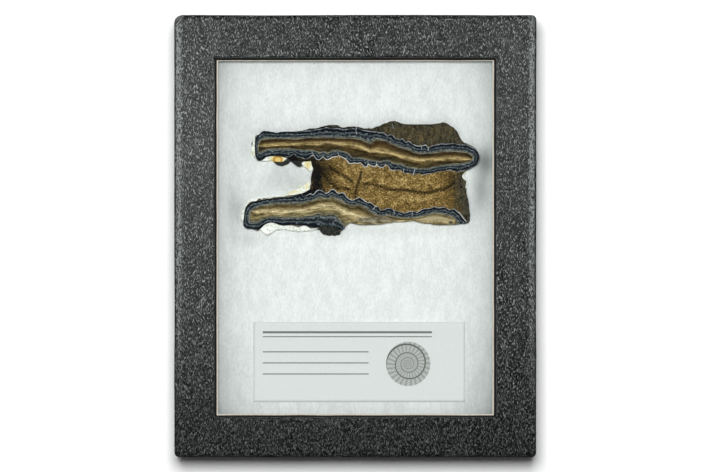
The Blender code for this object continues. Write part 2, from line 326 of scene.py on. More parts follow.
def verts_of(parts):
    """Picks the vertices out of the parts that an operator made."""
    return [part for part in parts if isinstance(part, bmesh.types.BMVert)]


noise.seed_set(UNEVEN_SEED)
shape = bmesh.new()
bmesh.ops.create_cube(shape, size=1.0)
bmesh.ops.scale(shape, verts=shape.verts, vec=(CASE_WIDTH, CASE_LENGTH, CASE_TOP - SKIRT_LIFT))
bmesh.ops.translate(shape, verts=shape.verts, vec=(0, 0, (CASE_TOP + SKIRT_LIFT) / 2))
under = [face for face in shape.faces if face.normal.z < -0.5]
bmesh.ops.inset_region(shape, faces=under, thickness=BOARD, use_even_offset=True)
hollow = bmesh.ops.extrude_face_region(shape, geom=under)["geom"]
bmesh.ops.delete(shape, geom=under, context="FACES_ONLY")
ceiling = [part for part in hollow if isinstance(part, bmesh.types.BMFace)]
bmesh.ops.translate(shape, verts=verts_of(hollow), vec=(0, 0, BOARD_UNDERSIDE - SKIRT_LIFT))
front = [face for face in shape.faces if near(face.calc_center_median().z, CASE_TOP)]
bmesh.ops.inset_region(shape, faces=front, thickness=WINDOW_BORDER, use_even_offset=True)
bmesh.ops.inset_region(
    shape, faces=ceiling, thickness=WINDOW_BORDER - BOARD, use_even_offset=True)
rims = [edge for face in front + ceiling for edge in face.edges]
bmesh.ops.delete(shape, geom=front + ceiling, context="FACES_ONLY")
bmesh.ops.bridge_loops(shape, edges=rims)
for vert in shape.verts:
    if near(vert.co.y, CASE_LENGTH / 2 - WINDOW_BORDER):
        vert.co.y -= TOP_EDGE_DROP
for corner_x, radius, segments in (
        (CASE_WIDTH / 2, LID_CORNER, 5), (CASE_WIDTH / 2 - WINDOW_BORDER, WINDOW_CORNER, 3)):
    upright = [
        edge for edge in shape.edges
        if all(near(abs(vert.co.x), corner_x) for vert in edge.verts)
        and near(abs(edge.verts[0].co.y), abs(edge.verts[1].co.y))
        and abs(edge.verts[0].co.z - edge.verts[1].co.z) > LEAST_UPRIGHT]
    worn_away = [
        edge for edge in upright
        if corner_x == CASE_WIDTH / 2 and edge.verts[0].co.x < 0 < edge.verts[0].co.y]
    crisp = [edge for edge in upright if edge not in worn_away]
    for corner, reach, steps in ((crisp, radius, segments), (worn_away, WORN_CORNER, 3)):
        if corner:
            bmesh.ops.bevel(
                shape, geom=corner, offset=reach, segments=steps, profile=0.5,
                affect="EDGES", material=-1)
for is_window, width, segments in ((False, LID_EDGE, 6), (True, WINDOW_EDGE, 4)):
    rim = []
    for edge in shape.edges:
        middle = (edge.verts[0].co + edge.verts[1].co) / 2
        in_window = (abs(middle.x) < CASE_WIDTH / 2 - WINDOW_BORDER + 0.1 * MM
                     and abs(middle.y) < CASE_LENGTH / 2 - WINDOW_BORDER + 0.1 * MM)
        flat_sides = sum(near(face.calc_center_median().z, CASE_TOP) for face in edge.link_faces)
        if flat_sides == 1 and in_window == is_window and near(middle.z, CASE_TOP):
            rim.append(edge)
    bmesh.ops.bevel(
        shape, geom=rim, offset=width, segments=segments, profile=0.5,
        affect="EDGES", material=-1)
bmesh.ops.triangulate(shape, faces=[face for face in shape.faces if len(face.verts) > 4])
cut_through(shape, CUT_SPACING, CASE_WIDTH / 2, CASE_LENGTH / 2)
for vert in shape.verts:
    drift = noise.noise_vector(vert.co * 45) * UNEVEN
    drift += noise.noise_vector(vert.co * 160) * UNEVEN / 3
    drift.z = 0 if vert.co.z > FLAT_ABOVE else drift.z / 3
    vert.co += drift

leatherette = Finish("leatherette", Specular_IOR_Level=0.5)
lean = leatherette.add(
    "ShaderNodeTexNoise", None, {"Vector": leatherette.place, "Scale": 0.12, "Detail": 1.0},
    "Color")
bent = leatherette.add(
    "ShaderNodeVectorMath", {"operation": "MULTIPLY_ADD"},
    {0: lean, 1: (5.0, 1.0, 2.0), 2: leatherette.place})
upright_grain = leatherette.stretched((1.25, 0.34, 1.0), bent)
# Raised upright strokes of the grain, also painted pale as glints
raised_strokes_with_painted_glints = leatherette.ease(leatherette.cloud(3.3, upright_grain, 2.0), 0.56, 0.68)
fine_grain = leatherette.stretched((1.0, 0.55, 1.0), bent)
pebble_tone = leatherette.add(
    "ShaderNodeSeparateColor", None,
    {0: leatherette.cells(3.8, fine_grain, output="Color")}, "Red")
# Painted glints on single pebbles of the grain
painted_glint = leatherette.work_out("POWER", pebble_tone, 5.0)
patchy = leatherette.cloud(0.12, detail=3.0)
ridges = leatherette.ease(leatherette.cloud(2.0, fine_grain, 3.0), 0.35, 0.65)
across_case, along_case, _ = leatherette.coordinates()
# Painted sheen: the painted glints fade towards the near end
painted_sheen_fade = 0.35 + 0.65 * leatherette.ease(along_case, -74.0, -20.0)
grain_with_painted_glints = leatherette.blend(painted_glint, paint(3, 4, 4), paint(82, 86, 85))
grain_with_painted_glints = leatherette.blend(raised_strokes_with_painted_glints * painted_sheen_fade, grain_with_painted_glints, paint(164, 169, 167))
from_middle = leatherette.work_out("ABSOLUTE", across_case)
# Painted highlights along the two long edges, fading towards the near end
painted_edge_highlight = leatherette.ease(from_middle, 54.4, 55.4) * leatherette.ease(from_middle, 56.8, 56.3)
painted_edge_highlight = painted_edge_highlight * leatherette.ease(along_case, -64.0, 10.0)
edge_highlight_speckle = leatherette.ease(ridges * 0.6 + pebble_tone * 0.6, 0.35, 0.9)
leatherette.vary(
    Base_Color=leatherette.blend(painted_edge_highlight * edge_highlight_speckle * 0.7, grain_with_painted_glints, paint(156, 162, 160)),
    Roughness=0.24 + 0.1 * patchy,
    Normal=leatherette.relief(ridges + raised_strokes_with_painted_glints * 0.4, 0.022 * MM))
lid = finish_mesh(shape, "covered_lid", leatherette)
for polygon in lid.data.polygons:
    polygon.use_smooth = abs(polygon.normal.z) < 0.99
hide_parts("lid")
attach(lid, "root")


# Window lining: inside the lid the leatherette is turned in round the window, and pale
# paper tape under it binds the glass. Both show as thin lines along the window's edge.
GLASS_TOP = 17.05 * MM
LINING_CUTS = 3 * MM
LINING_WANDER = 0.09 * MM


def flat_frame(half_x, half_y, middle_y, width, low, high, name, finish):
    """Makes a flat frame whose opening measures twice half_x by twice half_y."""
    frame_shape = bmesh.new()
    bmesh.ops.create_grid(frame_shape, x_segments=1, y_segments=1, size=1.0)
    outer_size = (half_x + width, half_y + width, 1)
    bmesh.ops.scale(frame_shape, verts=frame_shape.verts, vec=outer_size)
    bmesh.ops.translate(frame_shape, verts=frame_shape.verts, vec=(0, 0, low))
    opening = frame_shape.faces[:]
    bmesh.ops.inset_region(
        frame_shape, faces=opening, thickness=width, use_even_offset=True, use_boundary=True)
    bmesh.ops.delete(frame_shape, geom=opening, context="FACES_ONLY")
    cut_through(frame_shape, LINING_CUTS, half_x + width, half_y + width)
    for vert in frame_shape.verts:
        wander = noise.noise_vector(vert.co * 140) * LINING_WANDER
        vert.co += Vector((wander.x, middle_y + wander.y, 0))
    raised = bmesh.ops.extrude_face_region(frame_shape, geom=frame_shape.faces[:])["geom"]
    bmesh.ops.translate(frame_shape, verts=verts_of(raised), vec=(0, 0, high - low))
    return finish_mesh(frame_shape, name, finish, smooth=False)


turned_paper = Finish("turned_in_paper", Roughness=0.75)
turned_paper.vary(Base_Color=turned_paper.blend(
    turned_paper.cloud(1.5), paint(18, 18, 18), paint(34, 34, 33)))
binding_tape = Finish("binding_tape", Roughness=0.85)
fibre_fleck = binding_tape.cloud(2.5, binding_tape.stretched((1, 0.4, 1)), 3.0)
binding_tape.vary(Base_Color=binding_tape.blend(
    fibre_fleck, paint(186, 176, 158), paint(238, 232, 220)))
turned_in = flat_frame(
    43.8 * MM, 56.08 * MM, -0.52 * MM, 6 * MM, BOARD_UNDERSIDE - 0.13 * MM, BOARD_UNDERSIDE,
    "turned_in_leatherette", turned_paper)
tape = flat_frame(
    43.35 * MM, 55.76 * MM, -0.44 * MM, 8 * MM, GLASS_TOP + 0.02 * MM, GLASS_TOP + 0.14 * MM,
    "glass_binding_tape", binding_tape)
for strip, strip_slot in ((turned_in, "leatherette"), (tape, "label_paper")):
    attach(strip, "root")


# Window glass: a clear, faintly green pane behind the window. Lamp light passes straight
# through it to the specimen.
pane = Finish(
    "window_pane", Base_Color=(0.985, 0.995, 0.99, 1.0), Roughness=0.0, IOR=1.45,
    Transmission_Weight=1.0)
clear = pane.add("ShaderNodeBsdfTransparent", None, {"Color": (0.97, 0.985, 0.98, 1.0)})
faced = Amount(pane, pane.shader.outputs[0])
for passing in ("Is Shadow Ray", "Is Diffuse Ray"):
    ray_kind = pane.add("ShaderNodeLightPath", output=passing)
    faced = pane.add("ShaderNodeMixShader", None, {0: ray_kind, 1: faced, 2: clear})
pane.feed(pane.tree.nodes["Material Output"].inputs["Surface"], faced)
for slot_of_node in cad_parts["window_glass"].material_slots:
    slot_of_node.material = pane.material


# Tray: a shallow cardboard box covered with plain black paper, pushed into the lid from
# behind. Its underside is the back of the case.
black_paper = Finish("black_paper")
paper_fibre = black_paper.cloud(1.8, black_paper.stretched((1.0, 0.5, 1.0)), 4.0, 0.6)
scuffed = black_paper.ease(black_paper.cloud(0.06, detail=5.0, roughness=0.6), 0.5, 0.7)
black_paper.vary(
    Base_Color=black_paper.blend(
        scuffed * 0.5, black_paper.blend(paper_fibre, paint(30, 30, 31), paint(44, 44, 45)),
        paint(78, 77, 75)),
    Roughness=0.7 + 0.15 * paper_fibre,
    Normal=black_paper.relief(paper_fibre, 0.05 * MM))
for slot_of_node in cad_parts["tray"].material_slots:
    slot_of_node.material = black_paper.material


# Tooth slice: a cut across two plates of a mammoth molar, ground flat and polished, with
# its broken edges filled with resin. Each plate is a core of brown dentine in a loop of
# dark enamel, and cement joins the loops. The enamel's surfaces show as crinkled lines.
FACE_HEIGHT = 14.75
VOXEL = 0.27 * MM
RESIN_ABOVE = 9.5
LOOP_A_OUTER = (
    (-31, 23.9), (-31.6, 25), (-31.8, 28.5), (-31.5, 31.3), (-30.4, 32.7), (-29.1, 33.2),
    (-23.8, 33), (-17.4, 33.1), (-14.9, 33.3), (-13.7, 33.3), (-12.4, 33.7), (-11.1, 33.8),
    (-10.2, 34.1), (-8.9, 34.4), (-8, 34.1), (-6.7, 34), (-5.5, 34.1), (-4.5, 33.8), (-3.5, 33.6),
    (-2.3, 33.9), (-0.7, 34), (1.5, 34), (2.1, 33.5), (3.1, 33.4), (5.3, 33), (7, 33), (7.5, 32.6),
    (8.1, 32.8), (9.1, 32.6), (9.7, 32.1), (10.2, 31.6), (10.7, 32), (11.3, 32.1), (11.9, 31.9),
    (12.4, 31.3), (12.9, 30.7), (13.5, 30.8), (14.1, 30.4), (14.9, 30.9), (15.4, 30.3), (16, 29.6),
    (16.6, 30), (17.3, 29.9), (17.9, 29.2), (18.9, 28.8), (19.5, 28.5), (21.4, 28.6), (22.2, 28.9),
    (22.6, 28.5), (23.1, 28), (23.6, 28.1), (24.2, 28.5), (25.2, 28.8), (26.1, 28.9), (27.1, 29.2),
    (28.6, 29.1), (30.5, 29.3), (31.5, 29.3), (32.8, 28.9), (34.3, 28.9), (35.6, 28.8),
    (36.9, 28.1), (37.5, 27.8), (38.3, 27.2), (38.8, 26.6), (39.2, 25.8), (39.4, 24.8), (39.2, 24),
    (38.9, 23.2), (38.4, 22.6), (37.8, 22.1), (36.2, 21.4), (35.3, 20.9), (33.7, 20.6),
    (33.1, 20.6), (32.3, 20.2), (31.6, 20.6), (30.9, 20.5), (30.2, 20.9), (29.4, 20.9),
    (28.6, 20.6), (27.1, 20.5), (25.5, 20.2), (24.9, 19.9), (23.9, 19.8), (22.6, 19.7),
    (21.7, 19.4), (20.8, 19.5), (20.1, 19.9), (19.5, 19.6), (17.6, 19.9), (16, 19.9), (15.4, 20.1),
    (14.8, 20.4), (14.4, 20.9), (12.9, 20.9), (11.9, 20.8), (11.3, 20.9), (10.8, 21.5),
    (10.5, 22.1), (10, 22.6), (9.7, 22.8), (9.2, 22.1), (8.8, 21.7), (8, 21.7), (7.3, 22.1),
    (6.7, 22.8), (6.5, 22), (5.6, 22.1), (4.7, 22.4), (4, 22.9), (3.9, 22.1), (3.1, 21.8),
    (2.5, 22.3), (2, 22.9), (1.7, 23.2), (0.6, 23), (-0.4, 23.2), (-1.3, 22.9), (-2, 23.1),
    (-2.6, 23.9), (-3.1, 24.5), (-3.9, 24.8), (-4.5, 25.2), (-5.1, 25.4), (-6.4, 25.1), (-7.3, 25),
    (-7.8, 24.7), (-8.4, 24.3), (-9.2, 24.2), (-9.7, 24.7), (-10.2, 25.2), (-10.7, 24.7),
    (-11.3, 24.1), (-12.1, 24.2), (-12.7, 24.8), (-13, 25.6), (-13.8, 25.5), (-14.6, 24.8),
    (-15.4, 24.4), (-16.2, 24.5), (-17.1, 24.9), (-18.1, 25), (-18.7, 25.4), (-19.2, 26.1),
    (-20, 25.7), (-20.9, 25.1), (-22.2, 25), (-23.4, 25.2), (-25.3, 25.3), (-28.2, 25),
    (-29.1, 24.2), (-30.1, 23.8),
)
LOOP_A_INNER = (
    (-30.5, 26.6), (-30.7, 28.5), (-30.4, 29.6), (-29.8, 30.4), (-28.2, 30.8), (-26.9, 31),
    (-24.4, 30.7), (-21.2, 30.9), (-18.7, 30.7), (-16.5, 31), (-14.3, 31.1), (-8.6, 31.1),
    (-3.2, 31), (-0.1, 30.9), (2.1, 30.4), (3.4, 29.9), (4.7, 29.4), (5.6, 30), (6.5, 30.7),
    (9.4, 30.2), (11, 29.4), (12.6, 28.8), (14.1, 28.1), (15.7, 27.7), (17.3, 27.2), (18.2, 26.6),
    (20.4, 26.1), (23, 26.1), (25.2, 26.4), (26.8, 26.7), (31.5, 26.8), (33.7, 26.7), (35.3, 26.4),
    (36.2, 25.9), (37.2, 25.3), (37, 24.4), (36.4, 23.7), (35.6, 23.4), (34, 23.1), (31.5, 22.8),
    (29.3, 22.7), (27.7, 22.4), (25.8, 22.2), (24.2, 21.8), (22.6, 21.5), (20.4, 21.4),
    (19.2, 21.5), (17.9, 21.8), (16.3, 22.1), (15.4, 22.5), (14.4, 22.9), (12.9, 23), (12.1, 23.2),
    (10.3, 24.1), (9.1, 23.9), (7.8, 23.6), (6.2, 23.9), (4.7, 24.1), (3.4, 24.4), (2.5, 24.7),
    (1.2, 24.9), (-1, 25), (-1.5, 25.5), (-2, 26.1), (-2.9, 26.5), (-3.9, 26.8), (-5.1, 27),
    (-5.9, 27.4), (-6.4, 27), (-7.3, 27.2), (-8, 26.7), (-8.6, 26.2), (-9.1, 26.4), (-9.6, 26.8),
    (-10.5, 26.8), (-11.1, 26.3), (-11.9, 26.7), (-13.3, 27.2), (-17.4, 27.4), (-20.6, 27.6),
    (-24.4, 27.7), (-27.5, 27.5), (-29.4, 26.9), (-30.1, 26.4),
)
LOOP_B_OUTER = (
    (-35.9, 3.7), (-35.6, 5.7), (-35.2, 7.6), (-34.5, 9.5), (-33.2, 10.7), (-31.3, 11.2),
    (-29.4, 11.6), (-26.9, 12), (-23.8, 12.3), (-20.6, 12.6), (-18.4, 13), (-17.1, 13.6),
    (-16.5, 12.5), (-15.9, 12.7), (-15.2, 12.9), (-14.6, 13.3), (-14.1, 13.5), (-13.5, 13),
    (-13, 13.3), (-12.6, 13.9), (-12.1, 14.4), (-11.3, 14.6), (-10.5, 14.4), (-9.9, 13.9),
    (-9.2, 13.5), (-8.6, 13.8), (-8, 14.2), (-7.7, 14.6), (-7, 14.8), (-6.4, 14.5), (-5.9, 13.9),
    (-5.3, 13.4), (-4.8, 13.6), (-4.3, 13.8), (-3.7, 13.6), (-3.2, 13.2), (-2.8, 12.4),
    (-2.1, 11.9), (-1.5, 11.5), (-0.7, 11.4), (-0.1, 11.6), (0.6, 12), (1.2, 12.3), (1.8, 12),
    (2.5, 11.6), (3.1, 11.1), (3.7, 10.6), (4.7, 10.7), (5.3, 10.4), (5.8, 9.8), (6.5, 9.3),
    (7.2, 9.4), (7.6, 8.9), (7.8, 8.3), (8.8, 8.3), (9.4, 8.4), (10, 8.8), (11.4, 8.8),
    (11.9, 8.3), (12.9, 7.9), (13.5, 7.8), (14.1, 7.7), (15.4, 7.3), (16.3, 7.5), (17.3, 7.8),
    (19, 7.8), (19.5, 7.4), (20.1, 7.8), (20.8, 8.3), (21.4, 8.6), (23.6, 8.8), (24.2, 9),
    (25, 9.4), (25.8, 9), (27.1, 9), (28, 9.3), (28.6, 9), (29.3, 8.6), (29.9, 8.3), (30.5, 8.5),
    (31.5, 8.6), (32.1, 7.9), (32.6, 7.6), (33.1, 7.2), (33.7, 6.4), (34.3, 5.6), (35, 4.8),
    (35.4, 4), (35.4, -2.8), (-3.9, -2.8), (-3.7, 1), (-4.5, 1.9), (-5.5, 1.8), (-6.7, 1.3),
    (-9.2, 1.3), (-11.8, 2.3), (-13.7, 2.7), (-15.9, 3), (-18.1, 3.4), (-20.6, 3.5), (-23.8, 3.2),
    (-25.6, 3.7), (-27.5, 4), (-29.1, 2.9), (-30.7, 1.9), (-32.6, 2.3), (-34.5, 2.3), (-35.4, 2.9),
)
LOOP_B_INNER = (
    (-33.5, 5.4), (-33.4, 7), (-32.9, 7.9), (-32, 8.6), (-31, 9.1), (-30.1, 9.4), (-28.5, 9.7),
    (-26.9, 10), (-25.3, 10.2), (-22.2, 10.3), (-19, 10.2), (-17.1, 10.3), (-15.9, 10.5),
    (-14.6, 10.9), (-13.3, 11.2), (-12.4, 11.7), (-11.6, 12), (-10.8, 12.1), (-9.6, 11.9),
    (-8.3, 11.9), (-7.3, 12.4), (-6.4, 12), (-5.5, 11.6), (-4.5, 11.4), (-3.9, 10.8), (-3.2, 10.3),
    (-2.3, 10), (-1.7, 9.7), (-0.7, 9.7), (0.2, 9.8), (1.2, 9.8), (2.1, 9.5), (3.4, 8.9),
    (4.2, 8.3), (4.8, 7.6), (5.6, 7.2), (6.5, 6.8), (7.8, 6.4), (9.4, 6.3), (10.3, 6.7),
    (11.8, 6.2), (12.9, 5.9), (15.7, 5.7), (17.9, 5.7), (19.8, 5.9), (20.8, 6.2), (22, 6.5),
    (23.6, 7), (25.2, 7.2), (26.8, 7.1), (28.3, 6.8), (29.9, 6.5), (30.9, 6), (31.5, 5.4),
    (32.1, 4.6), (32.6, 3.5), (32.8, -1.2), (-2.6, -1.2), (-3.4, 3.2), (-3.9, 4), (-4.5, 4.8),
    (-5.1, 5.4), (-5.8, 6.4), (-6.7, 6.9), (-8.6, 7), (-9.6, 6.6), (-10.2, 6.8), (-11.1, 7.2),
    (-12.4, 7.2), (-13.3, 6.7), (-14.6, 6.5), (-15.9, 6.4), (-17.1, 6), (-18.1, 5.9), (-19, 6.2),
    (-20.6, 6), (-22.8, 6), (-24.7, 6.2), (-26.3, 6.2), (-27.5, 6), (-28.8, 5.7), (-29.8, 5.3),
    (-30.7, 4.6), (-32, 4.5), (-33.2, 4.6),
)
PALE_STREAK_A = (
    (-27.5, 28.5), (-23.1, 29.1), (-17.4, 29.1), (-14.3, 29.2), (-11.1, 29.6), (-8, 29.5),
    (-4.8, 29.2), (-1.7, 29), (0.6, 28.6), (2.5, 28), (4.7, 26.7), (7.2, 26.9), (9.7, 26.6),
    (12.6, 25.8), (14.1, 25.3), (16.6, 24.7), (18.9, 24.2), (22, 24), (25.2, 24.3), (28.3, 24.5),
    (31.5, 24.5), (34.6, 24.2),
)
PALE_STREAK_B = (
    (-26.9, 7.9), (-22.2, 7.9), (-17.4, 8.1), (-13.7, 8.7), (-10.5, 9.5), (-7.3, 9.7), (-3.2, 7.9),
    (-0.1, 6.7), (3.1, 5.7), (7.8, 4.9), (14.1, 4.6), (19, 5), (23, 5.5), (27, 5.6), (31, 4.9),
)
CEMENT_CRACKS = (
    ((1.8, 20.2), (1.5, 18.4), (0.6, 16.1), (-0.1, 12.4)),
    ((-8, 21.8), (-6.4, 20.6), (-4.5, 19.6), (-2.9, 18.7), (-1, 17.4)),
    ((-5.8, 15.2), (-3.5, 15.1), (-1.7, 14.9)),
    (
        (2.8, 16.5), (5.3, 16.5), (7.8, 15.8), (10.3, 14.9), (12.6, 14.6), (15.7, 14.6),
        (18.9, 14.2), (22, 13.6), (24.2, 13.9), (26.1, 14.6), (28.3, 14.9), (29.9, 15.8),
        (31.5, 16.8),
    ),
    ((-13.7, 23.1), (-11.8, 21.8), (-9.9, 19.3), (-8, 17.1), (-5.8, 15.2)),
)
WHITE_CREASES = (
    ((0.4, 34.5), (0.2, 33.5), (0.5, 32.2)), ((-5.5, 26.6), (-5.3, 25.6)),
    ((6.7, 23.7), (6.8, 22.5)), ((11.8, 35.4), (12, 34.1)), ((20.9, 28.5), (21, 27.7)),
    ((23.1, 28.1), (23, 27)), ((18.9, 21.5), (18.6, 20.2), (18.2, 19.3)),
    ((5.5, 8.3), (5.9, 8.7), (6.2, 9.2)), ((12.3, 7.8), (12.4, 6.8)), ((18.1, 7.8), (18, 6.5)),
    ((4, 23.6), (4.1, 22.8)), ((-13.7, 26.7), (-13.2, 25.6)), ((15.2, 21.2), (15.4, 20.2)),
)
# Darker and lighter places in the cement: middle, reach and strength
CEMENT_PATCHES = (
    ((-12.3, 18.5), (2.2, 7.5), -0.62), ((-9, 20.5), (3, 3), -0.26), ((-9.5, 15.5), (3, 2), -0.12),
    ((34, 13.5), (3.6, 7.5), -0.36), ((36.3, 8), (1.6, 8), -0.8), ((31, 17.5), (3, 1.6), -0.16),
    ((15, 17.3), (13, 2), 0.12), ((17, 12), (12, 1.6), 0.1), ((1, 20.5), (6, 1.6), 0.1),
    ((-5, 17.6), (3, 1.4), 0.1), ((20.5, 31.2), (5, 1.8), 0.15), ((11.5, 33.5), (1.6, 1.4), 0.12),
    ((33, 29.5), (2, 2.5), -0.1), ((12.5, 35.6), (3, 1.2), -0.16), ((24, 35.6), (8, 0.9), -0.16),
    ((16, 34), (1.2, 1.8), 0.1), ((-18.5, 23.8), (4.5, 1.7), -0.6), ((-15, 14), (2.6, 1.2), -0.5),
    ((-9.5, 34.7), (6, 0.9), -0.6), ((-20.3, 24.4), (1.8, 1.3), -0.6),
    ((-16.3, 13.3), (2, 1.2), -0.5),
)
# Stains in the dentine: rust where positive, dark olive where negative
DENTINE_PATCHES = (
    ((-2.3, 27.6), (2.4, 0.8), 0.7), ((8.5, 28.9), (5.2, 0.8), 0.6), ((-6, 30.3), (7, 0.5), 0.55),
    ((22, 25.9), (4.5, 0.5), -0.6), ((21, 23), (4.5, 0.5), 0.3), ((4.6, 29.3), (1, 1.6), -1),
    ((-25, 27.6), (10, 0.5), -0.7), ((-29.6, 28.6), (1, 1.6), -0.6),
    ((-27.5, 7.8), (0.8, 0.9), 0.6), ((-26.7, 6.8), (1, 0.5), 0.7), ((-33, 7), (2.2, 2.4), -0.3),
    ((30.2, 4.3), (0.7, 0.5), -1.6), ((2.5, 8.2), (4, 0.8), 0.35), ((10, 24.3), (6, 0.5), -0.7),
    ((-14, 6.8), (6, 0.5), -0.3),
)
# Bleached places in the dentine where positive, rough greyish ones where negative
PALE_PATCHES = (
    ((24.8, 5.6), (4.6, 1.3), 1.1), ((30.2, 4.6), (1.6, 1), 0.8), ((-19, 8), (5.5, 1), 0.7),
    ((-7.5, 29.6), (6.5, 0.7), 0.6), ((17.5, 24.5), (4.5, 0.5), 0.6),
    ((27.5, 24.4), (5, 0.6), 0.4), ((6, 5), (7.5, 1.5), -1), ((-1.5, 5.6), (1.6, 1.6), 0.5),
    ((-9.5, 10), (3, 1.2), 0.4),
)
# Honey-coloured places in the resin, strongest in its one amber drop, whose palest middle is a
# painted highlight
GOLD_AND_HIGHLIGHT_PATCHES = (
    ((-24.4, 24.1), (1.6, 1.5), 1.9), ((-26.6, 24.4), (1.6, 0.8), 0.35),
    ((-15, 22.6), (1.1, 1.6), 0.9), ((-15.2, 15.9), (0.7, 1.4), 0.55),
    ((-23.1, 14), (6, 0.6), 0.8), ((-18, 15.5), (2, 0.6), 0.5), ((-32.5, 26.3), (0.6, 1.2), 0.5),
    ((-31.3, 0.9), (1.8, 1.1), 0.5), ((-28.5, -0.1), (1.6, 0.5), 0.3),
    ((-18.1, 2.2), (6, 0.8), 0.16),
)
# Dark places: the rim below the drop, the splinter beside it and specks in the end rim
DARK_PATCHES = (
    ((-24.7, 22.8), (1.6, 0.8), 1.2), ((-22.6, 22.8), (0.9, 0.7), 1.1),
    ((-21.4, 23.6), (0.9, 1), 1.2), ((-32.6, 29.3), (0.5, 1.6), 0.6),
    ((-35.3, 9.2), (0.4, 1.2), 0.2),
)
LUMP_PATCHES = (((-8.2, 1.3), (3.4, 2.2), 2.2),)
# Where the pale line between enamel and cement stands out most
BRIGHT_LINE_PATCHES = (
    ((-6, 24.5), (9, 3), 0.7), ((4, 23), (10, 2.5), 0.6), ((-10, 14.5), (7, 2), 0.7),
    ((4, 11), (8, 3), 0.6), ((38.5, 22.5), (2.5, 4), 0.8), ((34, 6), (2.6, 3), 1.1),
    ((10, 31.5), (8, 2.5), 0.4), ((24, 8.5), (8, 1.5), 0.4), ((21, 28.5), (3, 1.5), 0.5),
)


def segments_of(path, closed=False):
    """Splits a path in millimetres into its straight pieces."""
    corners = list(path)
    if closed:
        corners.append(corners[0])
    return [(np.array(start), np.array(end)) for start, end in zip(corners, corners[1:])]


def distance_to(places, segments):
    """Distance in millimetres from each place to the nearest of the segments."""
    nearest = np.full(len(places), 1000.0)
    for start, end in segments:
        run = end - start
        share = ((places - start) @ run / max(run @ run, 1e-9)).clip(0, 1)
        gap = places - start - share[:, None] * run
        nearest = np.minimum(nearest, np.hypot(gap[:, 0], gap[:, 1]))
    return nearest


def depth_inside(places, segments):
    """Distance to a closed outline, positive inside it and negative outside."""
    inside = np.zeros(len(places), bool)
    for start, end in segments:
        if start[1] != end[1]:
            spans = (start[1] > places[:, 1]) != (end[1] > places[:, 1])
            share = (places[:, 1] - start[1]) / (end[1] - start[1])
            inside ^= spans & (places[:, 0] < start[0] + share * (end[0] - start[0]))
    return np.where(inside, 1.0, -1.0) * distance_to(places, segments)


def patches_at(places, patches):
    """Adds up soft oval patches at each place."""
    total = np.zeros(len(places))
    for middle, reach, strength in patches:
        away = (places - middle) / reach
        total += strength * np.exp(-(away ** 2).sum(axis=1))
    return total


def outline_of(solid, is_flat):
    """Edges in millimetres, seen from the front, between a solid's flat face and the rest."""
    return [
        tuple(np.array(vert.co[:2]) * 1000 for vert in edge.verts)
        for edge in solid.edges if sum(is_flat(face) for face in edge.link_faces) == 1]


def vertex_places(mesh):
    """Places of a mesh's vertices, in millimetres."""
    flat = np.empty(len(mesh.vertices) * 3)
    mesh.vertices.foreach_get("co", flat)
    return flat.reshape(-1, 3) * 1000


def set_vertex_places(mesh, places):
    """Moves a mesh's vertices to places in millimetres."""
    mesh.vertices.foreach_set("co", (places * MM).ravel())
    mesh.update()


def store(mesh, name, values):
    """Keeps one number a vertex, for the material to read."""
    mesh.attributes.new(name, "FLOAT", "POINT").data.foreach_set("value", values.astype("f"))


def smooth_out(verts, rounds, in_height):
    """Rounds a place off, in its height too if in_height is set."""
    for _ in range(rounds):
        bmesh.ops.smooth_vert(
            shape, verts=verts, factor=0.5, use_axis_x=True, use_axis_y=True,
            use_axis_z=in_height)


tooth_solid = bmesh.new()
tooth_solid.from_mesh(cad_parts["tooth_slice"].data)
bmesh.ops.remove_doubles(tooth_solid, verts=tooth_solid.verts, dist=1e-6)
tooth_outline = outline_of(
    tooth_solid, lambda face: face.normal.z > 0.9
    and near(face.calc_center_median().z, FACE_HEIGHT * MM))
tooth_underside = outline_of(tooth_solid, lambda face: face.normal.z < -0.9)
tooth_mesh = bpy.data.meshes.new("coarse_tooth")
tooth_solid.to_mesh(tooth_mesh)
tooth_solid.free()
coarse_tooth = bpy.data.objects.new("coarse_tooth", tooth_mesh)
bpy.context.collection.objects.link(coarse_tooth)
remesh = coarse_tooth.modifiers.new("remesh", "REMESH")
remesh.mode = "VOXEL"
remesh.voxel_size = VOXEL
bpy.context.view_layer.update()
fine_mesh = bpy.data.meshes.new_from_object(
    coarse_tooth.evaluated_get(bpy.context.evaluated_depsgraph_get()))
bpy.data.objects.remove(coarse_tooth)

shape = bmesh.new()
shape.from_mesh(fine_mesh)
verts = shape.verts[:]
heights = np.array([vert.co.z for vert in verts]) * 1000
flat_places = np.array([vert.co[:2] for vert in verts]) * 1000
in_tooth = depth_inside(flat_places, tooth_outline)
on_lump = patches_at(flat_places, LUMP_PATCHES)
resin_verts = [vert for vert, height, inside in zip(verts, heights, in_tooth)
               if inside < -0.05 and height > RESIN_ABOVE]
smooth_out(resin_verts, 8, True)
bulge_verts = [vert for vert in resin_verts if vert.co.x < -22 * MM and vert.co.y < 3 * MM]
smooth_out(bulge_verts, 30, False)
shape.normal_update()
for vert, height, inside, lumpy in zip(verts, heights, in_tooth, on_lump):
    if abs(height - FACE_HEIGHT) < 0.12 and inside > 0.1:
        vert.co.z = FACE_HEIGHT * MM
    elif inside < -0.05 and height > RESIN_ABOVE:
        rough = 0.12 + 0.5 * min(max(lumpy - 0.3, 0), 1)
        facets = noise.noise(vert.co * 900) + 0.6 * noise.noise(vert.co * 2300) - 0.4
        vert.co += vert.normal * facets * rough * MM
    elif height < FACE_HEIGHT - 0.2:
        chipped = noise.noise(vert.co * 700) + 0.5 * noise.noise(vert.co * 1900) - 0.7
        vert.co += vert.normal * min(chipped, 0) * 0.16 * MM

